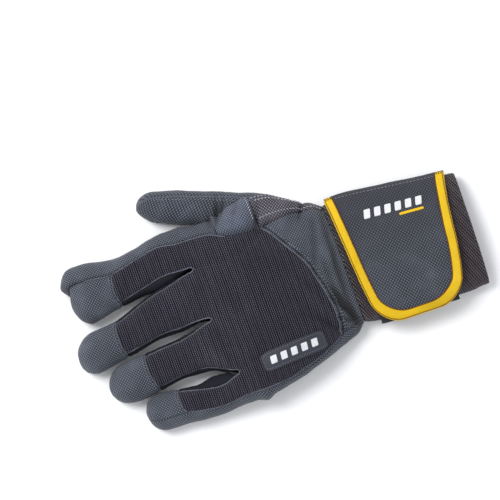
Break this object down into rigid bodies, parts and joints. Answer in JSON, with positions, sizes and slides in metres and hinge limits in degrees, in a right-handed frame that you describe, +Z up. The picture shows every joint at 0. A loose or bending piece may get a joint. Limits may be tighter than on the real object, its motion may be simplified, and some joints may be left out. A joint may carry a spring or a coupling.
{
  "type": "anti vibration glove",
  "caption": "Padded left-hand work glove with knit back, embossed leather palm and fingertips, long elastic cuff and a bound wrap-round closing flap, lying palm down.",
  "frame": {"origin": "centre of the glove's bounding box, on the floor that it lies on", "axes": "+Y towards the fingertips, +X towards the thumb, +Z up from the floor through the back of the hand"},
  "size_m": [0.1588, 0.2804, 0.0329],
  "materials": {
    "knit": "fine ribbed stretch knit, matte",
    "leather": "embossed synthetic leather, satin",
    "side_cloth": "smooth dark cloth",
    "elastic": "ribbed elastic, matte",
    "flap_leather": "fine textured synthetic leather",
    "binding": "yellow woven edge binding",
    "hook": "black hook tape"
  },
  "bodies": {
    "root": {"back_panel": "knit", "palm_panel": "leather", "wrist_band": "leather", "wrist_gusset": "elastic", "thumb_gusset": "leather", "cap_index": "leather", "cap_middle": "leather", "cap_ring": "leather", "cap_little": "leather", "fourchette_index_middle": "side_cloth", "fourchette_middle_ring": "side_cloth", "fourchette_ring_little": "side_cloth", "thumb_back": "leather", "thumb_front": "leather", "cuff": "elastic", "flap": "flap_leather", "flap_binding": "binding", "hook_tape": "hook", "label_patch": "side_cloth"}
  },
  "joints": []
}
